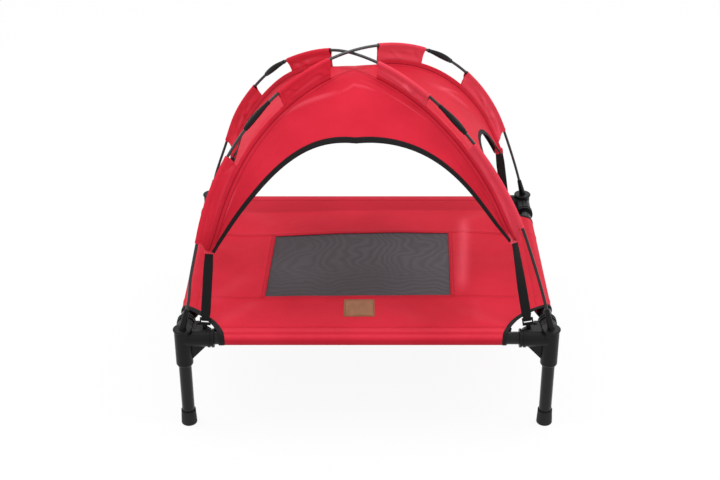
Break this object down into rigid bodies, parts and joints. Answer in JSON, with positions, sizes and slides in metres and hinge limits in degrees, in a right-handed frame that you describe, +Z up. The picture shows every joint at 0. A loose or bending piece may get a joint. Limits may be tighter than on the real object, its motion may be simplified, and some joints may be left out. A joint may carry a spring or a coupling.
{
  "type": "raised pet bed with canopy",
  "caption": "Raised pet bed: fabric cover with a mesh window stretched on a tube frame, under a removable dome canopy on crossed rods.",
  "frame": {"origin": "on the floor, under the middle of the bed", "axes": "+X to the right as seen from the front, +Y to the back, +Z up"},
  "size_m": [0.763, 0.613, 0.6989],
  "materials": {
    "black_tube": "black powder coat, satin",
    "black_plastic": "moulded black plastic, fine grain",
    "black_rubber": "black rubber",
    "red_fabric": "red woven polyester, PU coated",
    "grey_mesh": "dark grey open mesh",
    "black_binding": "black woven binding tape",
    "black_webbing": "black elastic webbing",
    "brown_leather": "tan leather with a stitched edge",
    "grey_rod": "grey fibreglass rod",
    "dark_rod": "black fibreglass rod"
  },
  "bodies": {
    "frame": {"rail_front": "black_tube", "rail_back": "black_tube", "rail_left": "black_tube", "rail_right": "black_tube", "corner_front_left": "black_plastic", "corner_front_right": "black_plastic", "corner_back_left": "black_plastic", "corner_back_right": "black_plastic", "bed_fabric": "red_fabric", "mesh_panel": "grey_mesh", "corner_bindings": "black_binding", "label_patch": "brown_leather", "hook_front_left": "black_plastic", "hook_front_right": "black_plastic", "hook_back_left": "black_plastic", "hook_back_right": "black_plastic"},
    "leg_front_left": {"leg_front_left": "black_tube", "foot_front_left": "black_rubber"},
    "leg_front_right": {"leg_front_right": "black_tube", "foot_front_right": "black_rubber"},
    "leg_back_left": {"leg_back_left": "black_tube", "foot_back_left": "black_rubber"},
    "leg_back_right": {"leg_back_right": "black_tube", "foot_back_right": "black_rubber"},
    "canopy": {"pole_a_front": "grey_rod", "pole_a_middle": "grey_rod", "pole_a_back": "grey_rod", "pole_b_front": "dark_rod", "pole_b_middle": "dark_rod", "pole_b_back": "dark_rod", "ferrule_front_left": "black_plastic", "ferrule_front_right": "black_plastic", "ferrule_back_left": "black_plastic", "ferrule_back_right": "black_plastic", "pole_tip_front_left": "black_rubber", "pole_tip_front_right": "black_rubber", "pole_tip_back_left": "black_rubber", "pole_tip_back_right": "black_rubber", "canopy_front": "red_fabric", "canopy_back": "red_fabric", "canopy_left": "red_fabric", "canopy_right": "red_fabric", "arch_binding_front": "black_binding", "arch_binding_back": "black_binding", "arch_binding_left": "black_binding", "arch_binding_right": "black_binding", "seam_strip_front_left": "red_fabric", "seam_strip_front_right": "red_fabric", "seam_strip_back_left": "red_fabric", "seam_strip_back_right": "red_fabric", "sleeve_front_left": "red_fabric", "sleeve_front_right": "red_fabric", "sleeve_back_left": "red_fabric", "sleeve_back_right": "red_fabric", "strap_front_left": "black_webbing", "strap_front_right": "black_webbing", "strap_back_left": "black_webbing", "strap_back_right": "black_webbing"}
  },
  "joints": [
    {"name": "canopy_lift", "type": "slide", "parent": "frame", "child": "canopy", "axis": [0, 0, 1], "range_m": [0, 0.04], "deforming": ["strap_front_left", "strap_front_right", "strap_back_left", "strap_back_right"]},
    {"name": "leg_pull_front_left", "type": "slide", "parent": "frame", "child": "leg_front_left", "axis": [0, 0, -1], "range_m": [0, 0.05]},
    {"name": "leg_pull_front_right", "type": "slide", "parent": "frame", "child": "leg_front_right", "axis": [0, 0, -1], "range_m": [0, 0.05]},
    {"name": "leg_pull_back_left", "type": "slide", "parent": "frame", "child": "leg_back_left", "axis": [0, 0, -1], "range_m": [0, 0.05]},
    {"name": "leg_pull_back_right", "type": "slide", "parent": "frame", "child": "leg_back_right", "axis": [0, 0, -1], "range_m": [0, 0.05]}
  ]
}
